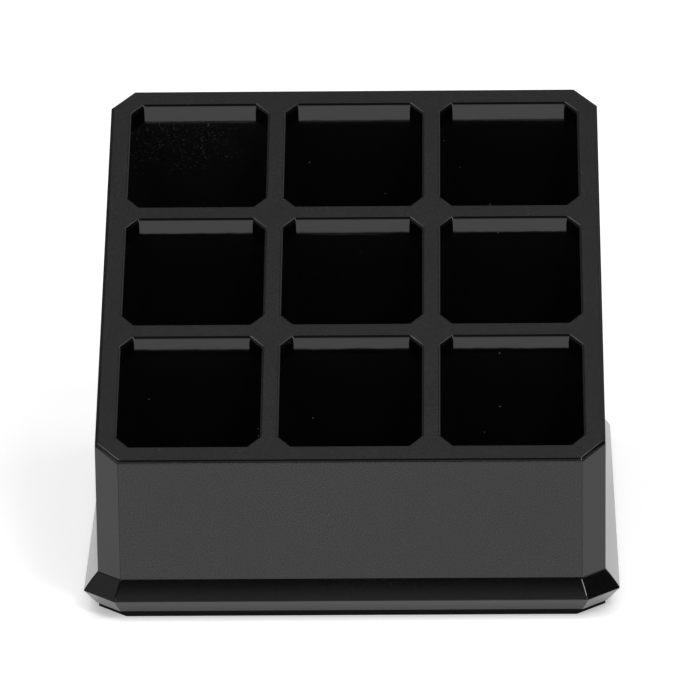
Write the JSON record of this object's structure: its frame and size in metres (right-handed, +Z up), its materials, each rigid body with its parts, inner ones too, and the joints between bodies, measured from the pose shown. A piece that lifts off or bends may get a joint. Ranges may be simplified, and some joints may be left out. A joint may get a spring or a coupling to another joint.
{
  "type": "compartment organiser",
  "caption": "Slant-topped gloss black organiser: a square grid of octagonal pockets in a cut-cornered body on a knife-edged plinth with a non-slip pad, standing free on a table.",
  "frame": {"origin": "centre of the footprint, on the table plane at the underside of the non-slip pad", "axes": "+Z up; -Y towards the low front side; +X to the right when seen from the front"},
  "size_m": [0.0972, 0.0972, 0.0705],
  "materials": {
    "gloss_sheet": "polished black acrylic sheet",
    "gloss_cup": "polished black acrylic pocket cups",
    "gloss_plinth": "polished black acrylic plate with bevelled edge",
    "pad": "matt black closed-cell rubber"
  },
  "bodies": {
    "root": {"deck_plate": "gloss_sheet", "wall_front": "gloss_sheet", "corner_wall_front_right": "gloss_sheet", "wall_right": "gloss_sheet", "corner_wall_rear_right": "gloss_sheet", "wall_rear": "gloss_sheet", "corner_wall_rear_left": "gloss_sheet", "wall_left": "gloss_sheet", "corner_wall_front_left": "gloss_sheet", "pocket_cup_front_left": "gloss_cup", "pocket_cup_front_centre": "gloss_cup", "pocket_cup_front_right": "gloss_cup", "pocket_cup_middle_left": "gloss_cup", "pocket_cup_middle_centre": "gloss_cup", "pocket_cup_middle_right": "gloss_cup", "pocket_cup_rear_left": "gloss_cup", "pocket_cup_rear_centre": "gloss_cup", "pocket_cup_rear_right": "gloss_cup", "plinth_plate": "gloss_plinth", "non_slip_pad": "pad"}
  },
  "joints": []
}
